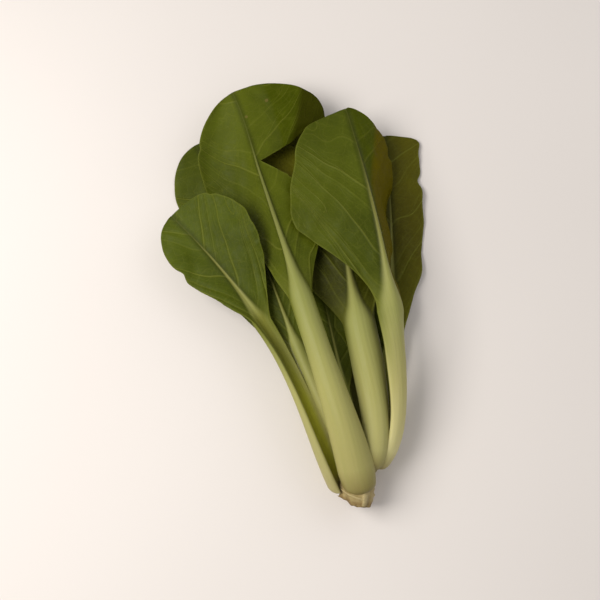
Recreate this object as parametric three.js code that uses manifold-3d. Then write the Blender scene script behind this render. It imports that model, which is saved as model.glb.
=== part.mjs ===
// A small head of bok choy lying on its side: a cut stem base and the leaves that grow from it,
// each leaf one closed solid from the foot of its stalk to the tip of its blade.
// Millimetres, +Z up. The stem's axis runs along +Y, from the cut end to the leaf tips.
// The group is placed so that the middle of the underside of the whole head is the origin.
import * as THREE from "three";
import { mergeVertices } from "three/addons/utils/BufferGeometryUtils.js";
import Module from "manifold-3d";

const wasm = await Module();
wasm.setup();

const { degToRad, lerp, smoothstep } = THREE.MathUtils;
const UP = new THREE.Vector3(0, 0, 1);

// Driving dimensions of the head.
const AXIS_HEIGHT = 14.5; // stem axis above the floor
const CUT_RADIUS = 7.0; // cut face of the stem
const BASE_RADIUS = 9.2; // stem base at its widest
const BASE_LENGTH = 33; // cut face to growing point
const CUT_SLANT = 0.5; // how fast the left side of the cut face draws back
const BLADE_THICKNESS = 1.0;
const FOOT_EDGE = 1.6; // thickness of a stalk's edge at its foot
const STALK_EDGE = 1.0; // the same at the top of the stalk
const TEAR_END = 1.5; // blade left beside the midrib where a tear ends
const CLEARANCE = 0.35; // kept between neighbouring pieces
const BASE_COLOUR = 0xd9cda0;
const LEAF_ROUGHNESS = 0.5;

// How finely a leaf is divided: stations along it and columns across it.
const OUTER_GRID = { stations: 26, columns: 9 };
const INNER_GRID = { stations: 18, columns: 7 };

// The leaves, in the order in which they keep their full shape where two would touch.
// path: control points of the centre line, from the foot to the tip.
// facing: where the outer face looks at the foot, the stalk's top and the tip, in degrees about
//   the stem's axis, seen from the cut end: 0 is right, 90 is up, 180 is left.
// lap: how far the foot is turned so that its clockwise edge laps over the next leaf, degrees.
// stalk: the stalk's share of the leaf's length. footWidth, stalkWidth: half-widths of the stalk.
// thick: thickness of the stalk. wrap: bend of each half of the stalk at its foot and top, degrees.
// Pairs are the clockwise side and the other side: bladeWidth is the half-width of the blade,
// fold its slope beside the midrib, curl its further bend towards the inner face, in degrees, and
// blunt says how square its tip is. wave: height of the waves of the margin. widest: where the
// blade is widest. wedge: how hollow its base is. tear: a split margin, with its side, the share of
// the blade where it ends, and how fast the half-width grows from there to the stalk and the tip.
const LEAVES = [
  {
    name: "folded_leaf_right",
    path: [[10, 19.7, 14.5], [33.5, 34.6, 20], [20.5, 120.5, 44], [-4, 214.5, 29]],
    facing: [1, 34, 88], lap: 0, turned: 0.2, stalk: 0.42,
    footWidth: 5.4, stalkWidth: 8.6, thick: 3.8, wrap: [36, 42],
    bladeWidth: [30, 41.5], fold: [54, 0], curl: [28, 9], wave: 1.4, phase: 0.7,
    widest: 0.46, blunt: [3, 2.4], wedge: 1.8, grid: OUTER_GRID, colour: 0x55592a,
  },
  {
    name: "front_leaf",
    path: [
      [1.8, 6.2, 20], [-2.5, 29, 42], [-24.7, 93, 37], [-51.8, 179, 27.3],
      [-54.6, 188, 26.2], [-61.4, 215.5, 24], [-67.6, 227.3, 22.5],
    ],
    facing: [92, 84, 98], lap: 4, turned: 0.5, stalk: 0.45,
    footWidth: 9.6, stalkWidth: 6.5, thick: 4.0, wrap: [46, 57],
    bladeWidth: [45, 38], fold: [17, 60], curl: [14, -46], wave: 1.4, phase: 0.1,
    widest: 0.63, blunt: [4.4, 1.2], wedge: 1.2,
    tear: { side: 0, at: 0.65, below: 135, above: 400 },
    grid: OUTER_GRID, colour: 0x5c6424,
  },
  {
    name: "wide_leaf_right",
    path: [[6, 19, 19.5], [22.5, 36, 30], [-8.2, 105, 25], [-9, 192, 15.5]],
    facing: [62, 97, 90], lap: 0, turned: 0.5, stalk: 0.44,
    footWidth: 6.5, stalkWidth: 8.6, thick: 4.0, wrap: [48, 40],
    bladeWidth: [20, 30], fold: [12, 6], curl: [6, 6], wave: 1.0, phase: 0.4,
    widest: 0.42, blunt: [2.4, 2.4], wedge: 1.2, grid: OUTER_GRID, colour: 0x4f5a22,
  },
  {
    name: "outer_leaf_left",
    path: [[-8.7, 7.3, 14], [-26.7, 42.8, 25], [-29, 84, 24], [-100, 155, 20]],
    facing: [211, 223, 278], lap: 0, turned: 0.5, stalk: 0.55,
    footWidth: 7.6, stalkWidth: 5.4, thick: 3.8, wrap: [50, 38],
    bladeWidth: [18, 30], fold: [2, 6], curl: [8, 10], wave: 1.2, phase: 0.2,
    widest: 0.55, blunt: [4.4, 4.4], wedge: 1.2, grid: OUTER_GRID, colour: 0x5b6630,
  },
  {
    name: "back_leaf_right",
    path: [[4, 16, 9], [19, 44, -1.6], [27, 110, 7], [20, 209, 3.5]],
    facing: [292, 288, 264], lap: 0, turned: 0.5, stalk: 0.40,
    footWidth: 6.5, stalkWidth: 7.5, thick: 3.6, wrap: [42, 40],
    bladeWidth: [26, 18], fold: [-4, 0], curl: [-2, 0], wave: 0.9, phase: 0.9,
    widest: 0.55, blunt: [7.5, 14], wedge: 1.0, grid: OUTER_GRID, colour: 0x474a16,
  },
  {
    name: "under_leaf_left",
    path: [[-3, 9, 9.5], [-13, 38, -0.6], [-32, 100, 5], [-90, 204, 2]],
    facing: [256, 260, 270], lap: 0, turned: 0.5, stalk: 0.34,
    footWidth: 6.5, stalkWidth: 7.5, thick: 3.6, wrap: [42, 40],
    bladeWidth: [27, 36], fold: [-3, -2], curl: [-5, -2], wave: 0.6, phase: 0.5,
    widest: 0.42, blunt: [4, 4], wedge: 1.2, grid: OUTER_GRID, colour: 0x4d5621,
  },
  {
    name: "inner_leaf_under",
    path: [[0, 21, 12], [2, 45, 7.5], [-4, 104, 11.5], [-34, 209, 9.5]],
    facing: [272, 272, 270], lap: 0, turned: 0.5, stalk: 0.5,
    footWidth: 6.0, stalkWidth: 6.0, thick: 3.0, wrap: [50, 40],
    bladeWidth: [31, 22], fold: [-1, -1], curl: [0, 0], wave: 0.5, phase: 0.3,
    widest: 0.42, blunt: [3.4, 3.4], wedge: 1.2, grid: INNER_GRID, colour: 0x525c26,
  },
  {
    name: "heart_leaf_left",
    path: [[-3.5, 22, 15], [-15, 42, 19], [-31, 76, 21.5], [-52, 140, 12.8]],
    facing: [130, 112, 95], lap: 0, turned: 0.5, stalk: 0.52,
    footWidth: 4.2, stalkWidth: 3.6, thick: 2.8, wrap: [50, 45],
    bladeWidth: [14, 14], fold: [3, 8], curl: [2, 6], wave: 0.6, phase: 0.6,
    widest: 0.42, blunt: [2.4, 2.4], wedge: 1.2, grid: INNER_GRID, colour: 0x5f6a2b,
  },
  {
    name: "heart_leaf_right",
    path: [[4, 22, 16.5], [12, 48, 18.5], [6, 85, 18.0], [0, 140, 14.6]],
    facing: [20, 60, 90], lap: 0, turned: 0.5, stalk: 0.36,
    footWidth: 4.5, stalkWidth: 4.0, thick: 2.6, wrap: [50, 45],
    bladeWidth: [14, 14], fold: [2, 3], curl: [3, 3], wave: 0.5, phase: 0.8,
    widest: 0.42, blunt: [2.4, 2.4], wedge: 1.2, grid: INNER_GRID, colour: 0x5f6a2b,
  },
  {
    name: "heart_leaf_centre",
    path: [[-1, 25, 15.5], [-3, 50, 16.5], [-10, 80, 15.2], [-18, 118, 12.9]],
    facing: [250, 258, 265], lap: 0, turned: 0.5, stalk: 0.36,
    footWidth: 3.6, stalkWidth: 3.0, thick: 2.2, wrap: [50, 45],
    bladeWidth: [11, 11], fold: [2, 2], curl: [4, 4], wave: 0.4, phase: 0.15,
    widest: 0.42, blunt: [2.4, 2.4], wedge: 1.2, grid: INNER_GRID, colour: 0x6a7631,
  },
];

// Share of the blade's half-width on one side at share s of its length: a wedge, then a round tip.
function bladeOutline(leaf, s, side) {
  if (s < leaf.widest) return (1 - (1 - s / leaf.widest) ** 1.25) ** leaf.wedge;
  const beyond = (s - leaf.widest) / (1 - leaf.widest);
  return Math.sqrt(Math.max(0, 1 - beyond ** leaf.blunt[side]));
}

// Half-width of the blade on one side, in mm: its outline, unless a tear leaves less.
function bladeHalfWidth(leaf, s, side) {
  const whole = leaf.bladeWidth[side] * bladeOutline(leaf, s, side);
  if (leaf.tear?.side !== side) return whole;
  const { at, below, above } = leaf.tear;
  const left = s < at ? (at - s) * below : (s - at) * above;
  return Math.min(whole, TEAR_END + left);
}

// Widths, angles and thicknesses of a leaf at a share of its length.
function stationOf(leaf, share) {
  const s = Math.max(0, (share - leaf.stalk) / (1 - leaf.stalk));
  const up = share / leaf.stalk;
  const opened = smoothstep(s, 0, 0.22);
  const foot = lerp(0.85, 1, smoothstep(up, 0, 0.13));
  const stalkWidth = foot * lerp(leaf.footWidth, leaf.stalkWidth, smoothstep(up, 0.05, 0.8));
  const rib = stalkWidth * (1 - s) ** 3.2;
  const wrap = lerp(leaf.wrap[0], leaf.wrap[1], smoothstep(up, 0, 0.7));
  const edge = lerp(lerp(FOOT_EDGE, STALK_EDGE, smoothstep(up, 0, 1)), BLADE_THICKNESS, opened);
  const early = lerp(leaf.facing[0], leaf.facing[1], smoothstep(up, 0, 0.9));
  const turnEnd = lerp(leaf.stalk, 1, leaf.turned);
  const facing = lerp(early, leaf.facing[2], smoothstep(share, 0.75 * leaf.stalk, turnEnd));
  const flatter = 1 - 0.75 * smoothstep(s, 0.45, 1);
  return {
    s, edge, rib,
    roll: degToRad(facing + 90 + leaf.lap * (1 - smoothstep(up, 0, 0.8))),
    middle: edge + leaf.thick * lerp(1, 0.72, smoothstep(up, 0, 1)) * (1 - s) ** 1.7,
    halfWidth: [0, 1].map((side) => rib + bladeHalfWidth(leaf, s, side) * (s > 0) + 0.6 * s),
    slope: leaf.fold.map((fold) => degToRad(fold * opened * flatter)),
    bend: leaf.curl.map((curl) => degToRad(lerp(wrap, curl, opened))),
    wave: leaf.wave * smoothstep(s, 0.03, 0.25) * (1 - 0.3 * s),
  };
}

// Centre line through groups of four control points, the last of each being the next one's first.
function centreLine(path) {
  const points = path.map((p) => new THREE.Vector3(...p));
  const line = new THREE.CurvePath();
  for (let i = 0; i + 3 < points.length; i += 3) {
    line.add(new THREE.CubicBezierCurve3(...points.slice(i, i + 4)));
  }
  return line;
}

// The middle sheet of a leaf: rows of points from the foot to the tip, each row an arc on either
// side of the centre line, straight across at the margin waves.
function sheetOf(leaf, reach) {
  const curve = centreLine(leaf.path);
  const { stations, columns } = leaf.grid;
  return Array.from({ length: stations }, (_, i) => {
    const even = i / (stations - 1);
    const share = even - 0.09 * Math.sin(2 * Math.PI * even); // closer together at both ends
    const station = stationOf(leaf, share);
    const along = curve.getTangentAt(share);
    const across = along.clone().cross(UP).normalize();
    const inward = across.clone().cross(along);
    const turned = across.clone().applyAxisAngle(along, -station.roll);
    const face = inward.clone().applyAxisAngle(along, -station.roll);
    const overrun = (i === 0 ? -reach : 0) + (i === stations - 1 ? reach : 0);
    const centre = curve.getPointAt(share).addScaledVector(along, overrun);
    const points = Array.from({ length: columns }, (_, j) => {
      const offset = (2 * j) / (columns - 1) - 1;
      const side = offset > 0 ? 1 : 0;
      const out = Math.abs(offset);
      const start = station.slope[side];
      const bend = station.bend[side] || 1e-4;
      const end = start + bend * out;
      const radius = station.halfWidth[side] / bend;
      const ripple = 2 * Math.PI * (3 * station.s + leaf.phase + 0.37 * side);
      const wave = station.wave * out ** 2.2 * Math.sin(ripple);
      const x = Math.sign(offset) * (radius * (Math.sin(end) - Math.sin(start)) - wave * Math.sin(end));
      const z = radius * (Math.cos(start) - Math.cos(end)) + wave * Math.cos(end);
      return centre.clone().addScaledVector(turned, x).addScaledVector(face, z);
    });
    return { station, face, points };
  });
}

// Unit normal of the sheet at a row and column, on the side of the leaf's inner face.
function normalAt(sheet, i, j) {
  const last = sheet[0].points.length - 1;
  const before = sheet[Math.max(i - 1, 0)].points[j];
  const after = sheet[Math.min(i + 1, sheet.length - 1)].points[j];
  const left = sheet[i].points[Math.max(j - 1, 0)];
  const right = sheet[i].points[Math.min(j + 1, last)];
  return right.clone().sub(left).cross(after.clone().sub(before)).normalize();
}

// Ring of points round a leaf at one row: inner face, margin, outer face with its thick rib, margin.
function ringOf(sheet, i, grow) {
  const { station, points } = sheet[i];
  const last = points.length - 1;
  const ribReach = 1.02 * station.rib + 0.9 * (1 - station.s) + 0.3;
  const inner = [];
  const outer = [];
  points.forEach((point, j) => {
    const offset = (2 * j) / last - 1;
    const away = Math.abs(offset) * station.halfWidth[offset > 0 ? 1 : 0];
    const swell = Math.max(0, 1 - (away / ribReach) ** 2) ** 1.15;
    const depth = lerp(station.edge, station.middle, swell) - station.edge / 2;
    const normal = normalAt(sheet, i, j);
    inner.push(point.clone().addScaledVector(normal, station.edge / 2 + grow));
    outer.push(point.clone().addScaledVector(normal, -depth - grow));
  });
  const margin = (edge, neighbour) => {
    const middle = inner[edge].clone().add(outer[edge]).multiplyScalar(0.5);
    const outward = points[edge].clone().sub(points[neighbour]).normalize();
    return middle.addScaledVector(outward, station.edge / 2 + 1.5 * grow);
  };
  return [...inner, margin(last, last - 1), ...outer.toReversed(), margin(0, 1)];
}

// Triangles that shut one end of a tube of rings: a strip between its inner and outer faces.
function capOf(row, size, isTip) {
  const columns = size / 2 - 1;
  const strip = [size - 1];
  for (let j = 0; j < columns; j++) strip.push(j, size - 2 - j);
  strip.push(columns);
  const triangles = [];
  for (let k = 0; k < strip.length - 2; k++) {
    const corners = strip.slice(k, k + 3).map((j) => row * size + j);
    triangles.push(...((k % 2 === 0) === isTip ? corners : corners.reverse()));
  }
  return triangles;
}

// Closed solid from rings of equal length, each joined to the next and both ends shut.
function solidFromRings(rings) {
  const size = rings[0].length;
  const triangles = [...capOf(0, size, false), ...capOf(rings.length - 1, size, true)];
  for (let i = 0; i < rings.length - 1; i++) {
    for (let j = 0; j < size; j++) {
      const a = i * size + j;
      const b = i * size + ((j + 1) % size);
      triangles.push(a, b, b + size, a, b + size, a + size);
    }
  }
  const vertProperties = new Float32Array(rings.flat().flatMap((point) => point.toArray()));
  const triVerts = new Uint32Array(triangles);
  return new wasm.Manifold(new wasm.Mesh({ numProp: 3, vertProperties, triVerts }));
}

// A leaf's solid, with every face moved out by grow.
function leafSolid(leaf, grow = 0) {
  const sheet = sheetOf(leaf, 1.5 * grow);
  return solidFromRings(sheet.map((_, i) => ringOf(sheet, i, grow)));
}

// The stem base: turned about its axis, from the cut face over its widest part to the growing
// point, with the left side of the cut taken off at a slant.
function baseSolid(grow = 0) {
  const profile = [
    [0, -grow],
    [CUT_RADIUS, -grow],
    [lerp(CUT_RADIUS, BASE_RADIUS, 0.5), 0.08 * BASE_LENGTH],
    [BASE_RADIUS, 0.24 * BASE_LENGTH],
    [0.95 * BASE_RADIUS, 0.4 * BASE_LENGTH],
    [0.76 * BASE_RADIUS, 0.58 * BASE_LENGTH],
    [0.5 * BASE_RADIUS, 0.78 * BASE_LENGTH],
    [0.25 * BASE_RADIUS, 0.93 * BASE_LENGTH],
    [0, BASE_LENGTH + grow],
  ];
  const points = profile.map(([r, y]) => new THREE.Vector2(r > 0 ? r + grow : 0, y));
  const turned = new THREE.LatheGeometry(points, 28).translate(0, 0, AXIS_HEIGHT);
  return solidFromGeometry(turned).trimByPlane([CUT_SLANT, 1, 0], -grow);
}

// A three.js geometry as a solid, its vertices joined by position.
function solidFromGeometry(geometry) {
  geometry.deleteAttribute("uv");
  geometry.deleteAttribute("normal");
  const joined = mergeVertices(geometry, 1e-4);
  const vertProperties = joined.attributes.position.array;
  const triVerts = new Uint32Array(joined.index.array);
  return new wasm.Manifold(new wasm.Mesh({ numProp: 3, vertProperties, triVerts }));
}

// The solid without its neighbours, cut level with the floor, and only its largest body.
function settle(solid, neighbours) {
  const clear = neighbours.reduce((left, neighbour) => left.subtract(neighbour), solid);
  const bodies = clear.trimByPlane([0, 0, 1], 0).decompose();
  return bodies.reduce((large, body) => (body.volume() > large.volume() ? body : large));
}

// A named mesh of a solid, with flat shading from its own triangles.
function meshOf(name, solid, colour) {
  const { vertProperties, triVerts } = solid.getMesh();
  const geometry = new THREE.BufferGeometry();
  geometry.setAttribute("position", new THREE.BufferAttribute(vertProperties, 3));
  geometry.setIndex(new THREE.BufferAttribute(triVerts, 1));
  geometry.computeVertexNormals();
  const material = new THREE.MeshStandardMaterial({
    color: colour, roughness: LEAF_ROUGHNESS, metalness: 0,
  });
  const mesh = new THREE.Mesh(geometry, material);
  mesh.name = name;
  return mesh;
}

const head = new THREE.Group();
head.add(meshOf("stem_base", settle(baseSolid(), []), BASE_COLOUR));
const occupied = [baseSolid(CLEARANCE)];
for (const leaf of LEAVES) {
  head.add(meshOf(leaf.name, settle(leafSolid(leaf), occupied), leaf.colour));
  occupied.push(leafSolid(leaf, CLEARANCE));
}
const middle = new THREE.Box3().setFromObject(head).getCenter(new THREE.Vector3());
head.position.set(-middle.x, -middle.y, 0);

export default head;
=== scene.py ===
"""A small head of bok choy lying on a pale surface.

Lengths are in millimetres in the head's own frame until the last step of each mesh: the origin
lies on the surface under the cut end of the stem, +Y runs from the cut end to the leaf tips and
+Z is up. to_frame() moves points from there into the CAD frame, which is in metres.
"""

import math

import bpy
import numpy as np
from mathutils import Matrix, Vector


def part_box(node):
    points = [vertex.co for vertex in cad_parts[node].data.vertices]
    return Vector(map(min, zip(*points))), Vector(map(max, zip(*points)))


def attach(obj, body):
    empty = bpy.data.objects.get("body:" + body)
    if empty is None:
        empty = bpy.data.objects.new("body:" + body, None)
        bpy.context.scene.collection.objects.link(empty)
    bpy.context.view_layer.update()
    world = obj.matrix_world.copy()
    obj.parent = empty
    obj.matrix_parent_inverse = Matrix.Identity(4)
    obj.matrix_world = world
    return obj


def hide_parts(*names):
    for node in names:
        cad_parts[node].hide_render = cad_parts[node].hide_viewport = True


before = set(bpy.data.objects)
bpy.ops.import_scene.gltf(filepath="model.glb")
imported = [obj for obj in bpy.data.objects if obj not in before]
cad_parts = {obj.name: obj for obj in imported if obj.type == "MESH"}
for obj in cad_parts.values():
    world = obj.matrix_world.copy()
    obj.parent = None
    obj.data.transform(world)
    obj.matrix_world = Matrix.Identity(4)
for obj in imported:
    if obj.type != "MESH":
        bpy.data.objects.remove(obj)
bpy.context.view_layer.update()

MM = 0.001
AXIS_HEIGHT = 14.5  # stem axis above the surface
CUT_RADIUS = 7.0  # cut face of the stem
RIM_START = 0.955  # share of that radius where its edge begins to round over
DISH = 0.35  # depth of the hollow in the cut face and of its rounded edge
CUT_SLANT = 0.65  # how fast the left side of the cut face draws back
SLANT_START = 2.4  # where it starts to, left of the middle
LAMINA = 0.45  # thickness of a blade between its veins
FOOT_EDGE = 1.5  # thickness of a stalk's edge at its foot
STALK_EDGE = 0.9  # the same at the top of the stalk
TOP_SHARE = 0.72  # share of its extra thickness that a stalk keeps to its top
RIB_SHARE = 0.42  # share of that which the midrib keeps
HEEL = 5.0  # length of the rounded end of a stalk
BUNDLE_GAP = 1.9  # between the ridges of a stalk's outer face
BUNDLE, KEEL, GROOVE = 0.055, 0.22, 0.35  # height of the ridges and the keel, depth of the groove
RUFFLE = 0.28  # height of the ruffle along a blade's margin
CREASES = (0.22, 0.45)  # heights of the quicker and the slower unevenness of a blade
TEAR_END = 1.5  # blade left beside the midrib where a tear ends
VEIN_RISE = 2.0  # how far a side vein runs forward for each step away from the midrib
VEIN_BEND = -0.013  # how quickly neighbouring side veins draw together, per mm
FLOOR_GAP = 0.5  # how softly a leaf is pressed flat on the surface
STALK_STATIONS = 0.4  # share of a leaf's stations that its stalk takes
BASE_TURNS = 216  # points round the stem base

SHEEN = 0.11  # how strongly leaf and stem reflect
SHADED_SHEEN = 0.3 * SHEEN  # the same on the shaded side of a blade
CAMERA_PLACE = (-29.36, 112.3, 0.0)  # middle of the view, on the surface
CAMERA_RISE = math.radians(77)  # angle of the view above the surface
CAMERA_DISTANCE = 0.52  # m
CAMERA_LENS = 55.61  # mm, on a sensor 36 mm wide

_low, _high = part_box("stem_base")
SHIFT = np.array([(_low.x + _high.x) / 2 / MM, _low.y / MM, 0.0])

# Wall of the stem base: place along the stem and radius there, from the cut to the growing point.
BASE_WALL = (
    (DISH, CUT_RADIUS), (2.4, 8.0), (5.0, 8.8), (7.9, 9.2), (13.2, 8.75),
    (19.0, 7.0), (25.7, 4.6), (30.7, 2.3), (33.0, 0.0),
)
# Where stalk bases meet round the cut, as angles in radians: 0 is right, pi / 2 is up.
STALK_GAPS = (0.3, 1.7, 2.8, 4.0, 5.2)
# Middle and half-width of what else lies round the stem, as angles; furrows count from the gaps.
FURROW, SCRAP, FLARE = (0.55, 0.13), (1.02, 0.26), (3.0, 0.7)
# Scars of pulled leaves: middle and half-width as angles, place along the stem, lean, height.
SCARS = (
    (1.95, 0.85, 5.0, 3.2, 0.8), (-1.2, 0.8, 3.2, 0.0, 0.7),
    (3.6, 0.9, 2.6, 0.0, 0.7), (0.3, 0.5, 5.0, 0.0, 0.6),
)

# Stations along a leaf and columns across it.
FINE, MEDIUM, COARSE = (300, 81), (230, 61), (170, 41)

# The leaves. Pairs are the clockwise side and the other side, seen from the cut end.
# path: control points of the centre line. facing: where the outer face looks at the foot, the
#   stalk's top and the tip, in degrees about the stem's axis: 0 is right, 90 is up; lap turns the
#   foot on, and turned is the share of the blade that still turns.
# stalk: its share of the leaf's length. foot_width, stalk_width: its half-widths. thick: how
#   much thicker than its edge its middle is. wrap: degrees that each side of it curls round.
# blade_width: of each side; fold: degrees that it slopes at the midrib; curl: degrees that it
#   bends out to the margin. wave: height of the margin's long waves; phase: their start.
# widest: share of the blade below its widest place; wedge and blunt shape the outline below and
#   above it. lobe: its unevenness. notches: side, place, depth and width of each dip in it, or
#   bulge where the depth is below 0. tear: side, place and how fast it opens each way.
# vein_gap, vein_start: of the side veins. pillow: swelling between them.
USUAL = dict(
    lap=0, turned=0.5, wrap=[50, 45], widest=0.42, blunt=(2.4, 2.4), wedge=1.2, lobe=0.04,
    notches=(), tear=None, pillow=0.25, grid=COARSE,
)
LEAVES = [
    dict(
        USUAL, name="folded_leaf_right", grid=FINE,
        path=[[10, 19.7, 14.5], [33.5, 34.6, 20], [20.5, 120.5, 44], [-4, 214.5, 29]],
        facing=[1, 34, 88], turned=0.2, stalk=0.42,
        foot_width=5.4, stalk_width=8.6, thick=3.8, wrap=[36, 42],
        blade_width=[30, 41.5], fold=[54, 0], curl=[28, 9], wave=1.4, phase=0.7,
        widest=0.46, blunt=(3, 3.3), wedge=1.8, lobe=0.018,
        notches=((1, 0.97, -0.14, 0.03), (1, 0.79, 0.07, 0.06), (0, 0.78, 0.05, 0.02)),
        vein_gap=21, vein_start=0.15, pillow=0.34,
    ),
    dict(
        USUAL, name="front_leaf", grid=FINE,
        path=[
            [1.8, 6.2, 20], [-2.5, 29, 42], [-24.7, 93, 37], [-51.8, 179, 27.3],
            [-54.6, 188, 26.2], [-61.4, 215.5, 24], [-67.6, 227.3, 22.5],
        ],
        facing=[92, 84, 98], lap=4, stalk=0.45,
        foot_width=9.6, stalk_width=6.5, thick=4, wrap=[46, 57],
        blade_width=[45, 38], fold=[17, 60], curl=[14, -46], wave=1.4, phase=0.1,
        widest=0.63, blunt=(4.4, 1.2), lobe=0.016, notches=((1, 0.80, 0.04, 0.02),),
        tear=dict(side=0, at=0.65, below=135, above=310),
        vein_gap=23, vein_start=0.35, pillow=0.30,
    ),
    dict(
        USUAL, name="wide_leaf_right", grid=MEDIUM,
        path=[[6, 19, 19.5], [22.5, 36, 30], [-8.2, 105, 25], [-9, 192, 15.5]],
        facing=[62, 97, 90], stalk=0.44, foot_width=6.5, stalk_width=8.6, thick=4, wrap=[48, 40],
        blade_width=[20, 30], fold=[12, 6], curl=[6, 6], wave=1, phase=0.4, lobe=0.02,
        vein_gap=18, vein_start=0.6, pillow=0.3,
    ),
    dict(
        USUAL, name="outer_leaf_left", grid=FINE,
        path=[[-8.7, 7.3, 14], [-26.7, 42.8, 25], [-29, 84, 24], [-100, 155, 20]],
        facing=[211, 223, 278], stalk=0.55,
        foot_width=7.6, stalk_width=5.4, thick=3.8, wrap=[50, 38],
        blade_width=[18, 30], fold=[2, 6], curl=[8, 10], wave=1.2, phase=0.2,
        widest=0.55, blunt=(4.4, 4.4), lobe=0.022,
        notches=((0, 0.62, 0.05, 0.03), (1, 0.90, 0.05, 0.02)),
        vein_gap=17, vein_start=0.2, pillow=0.34,
    ),
    dict(
        USUAL, name="back_leaf_right", grid=MEDIUM,
        path=[[4, 16, 9], [19, 44, -1.6], [27, 110, 7], [20, 209, 3.5]],
        facing=[292, 288, 264], stalk=0.4,
        foot_width=6.5, stalk_width=7.5, thick=3.6, wrap=[42, 40],
        blade_width=[26, 18], fold=[-4, 0], curl=[-2, 0], wave=0.9, phase=0.9,
        widest=0.55, blunt=(7.5, 20), wedge=1, lobe=0.02,
        notches=((1, 0.29, -0.18, 0.08), (1, 0.76, 0.14, 0.03), (1, 0.98, -0.2, 0.05)),
        vein_gap=20, vein_start=0.5, pillow=0.34,
    ),
    dict(
        USUAL, name="under_leaf_left", grid=MEDIUM,
        path=[[-3, 9, 9.5], [-13, 38, -0.6], [-32, 100, 5], [-90, 204, 2]],
        facing=[256, 260, 270], stalk=0.34,
        foot_width=6.5, stalk_width=7.5, thick=3.6, wrap=[42, 40],
        blade_width=[27, 36], fold=[-3, -2], curl=[-5, -2], wave=0.6, phase=0.5,
        blunt=(4, 4), lobe=0.035, notches=((0, 0.7, 0.05, 0.03), (1, 0.85, 0.05, 0.02)),
        vein_gap=18, vein_start=0.1, pillow=0.3,
    ),
    dict(
        USUAL, name="inner_leaf_under",
        path=[[0, 21, 12], [2, 45, 7.5], [-4, 104, 11.5], [-34, 209, 9.5]],
        facing=[272, 272, 270], stalk=0.5, foot_width=6, stalk_width=6, thick=3, wrap=[50, 40],
        blade_width=[31, 22], fold=[-1, -1], curl=[0, 0], wave=0.5, phase=0.3,
        blunt=(3.4, 3.4), lobe=0.03, vein_gap=15, vein_start=0.4,
    ),
    dict(
        USUAL, name="heart_leaf_left",
        path=[[-3.2, 22, 15.2], [-14.2, 42, 19.5], [-30.2, 76, 22], [-52, 140, 12.8]],
        facing=[130, 112, 95], stalk=0.52, foot_width=4.0, stalk_width=3.4, thick=2.3,
        blade_width=[10, 13], fold=[3, 6], curl=[2, 3], wave=0.3, phase=0.6,
        vein_gap=11, vein_start=0.7,
    ),
    dict(
        USUAL, name="heart_leaf_right",
        path=[[4, 22, 16.5], [12, 48, 18.5], [6, 85, 18], [0, 140, 14.6]],
        facing=[20, 60, 90], stalk=0.36, foot_width=4.5, stalk_width=4, thick=2.6,
        blade_width=[14, 14], fold=[2, 3], curl=[3, 3], wave=0.5, phase=0.8,
        vein_gap=11, vein_start=0.3,
    ),
    dict(
        USUAL, name="heart_leaf_centre",
        path=[[-1, 25, 15.5], [-3, 50, 16.5], [-10, 80, 15.2], [-18, 118, 12.9]],
        facing=[250, 258, 265], stalk=0.36, foot_width=3.4, stalk_width=3, thick=1.8,
        blade_width=[11, 11], fold=[2, 2], curl=[4, 4], wave=0.4, phase=0.15,
        vein_gap=9, vein_start=0.0, pillow=0.2,
    ),
]

# Colours in display steps. A leaf takes the common ones and changes some.
COMMON = dict(
    deep=(58, 66, 1), fresh=(74, 82, 7), vein=(112, 115, 40), midrib=(118, 116, 54),
    foot=(138, 122, 72), low=(174, 168, 108), mid=(162, 158, 94), top=(148, 149, 84),
    streak=(140, 142, 74), hollow=(108, 110, 34), hollow_top=(108, 110, 34),
    # beside: painted shade in the strip beside the midrib.
    beside=(38, 44, 0), speck=(112, 96, 50),
)
CHANGES = {
    # shaded: colour of the painted shade on the side of a blade that turns from the light.
    "folded_leaf_right": dict(low=(208, 199, 142), mid=(182, 174, 112), shaded=(90, 79, 0)),
    "front_leaf": dict(
        deep=(60, 68, 2), fresh=(79, 87, 7), foot=(124, 108, 60), low=(165, 157, 98),
        top=(138, 141, 76), midrib=(106, 109, 52), shaded=(44, 44, 0),
    ),
    # outer_leaf_left: hollow is painted light, lighter low down where front_leaf shades it;
    # hollow_top is painted shade.
    "outer_leaf_left": dict(
        deep=(60, 69, 2), fresh=(75, 85, 8), foot=(168, 155, 110), low=(170, 162, 110),
        hollow=(190, 190, 24), hollow_top=(104, 104, 14),
    ),
    "back_leaf_right": dict(deep=(68, 63, 0), fresh=(82, 79, 2)),
    "wide_leaf_right": dict(deep=(46, 48, 0), fresh=(61, 62, 4)),
    # inner_leaf_under: lighter and yellower than the other blades, painted light that lifts the
    # deep shade it lies in under front_leaf's tear.
    "inner_leaf_under": dict(deep=(94, 91, 6), fresh=(108, 104, 11)),
}
# Painted shade on blades whose clockwise side turns from the light: how far from the midrib it
# begins, in units of 100 mm, how that line leans beyond a share of the blade, and where it starts.
SHADES = {
    "folded_leaf_right": dict(edge=0.01, lean=0.45, lean_from=0.6, above=0.0),
    "front_leaf": dict(edge=0.16, lean=0.7, lean_from=0.66, above=0.66),
}
SHADE_DEPTH = 0.85  # share of the shaded colour there
STALK_TONES = {"foot": 0, "low": 0.14, "mid": 0.55, "top": 1}  # place of each up the stalk


# ---- leaves


def ease(low, high, x):
    """3t^2 - 2t^3, where t is x's share of the way from low to high, held between 0 and 1."""
    t = np.clip((x - low) / (high - low), 0, 1)
    return t * t * (3 - 2 * t)


def mix(a, b, t):
    """a + (b - a) t."""
    return a + (b - a) * t


def bell(x):
    """e^(-x^2)."""
    return np.exp(-(x**2))


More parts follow.
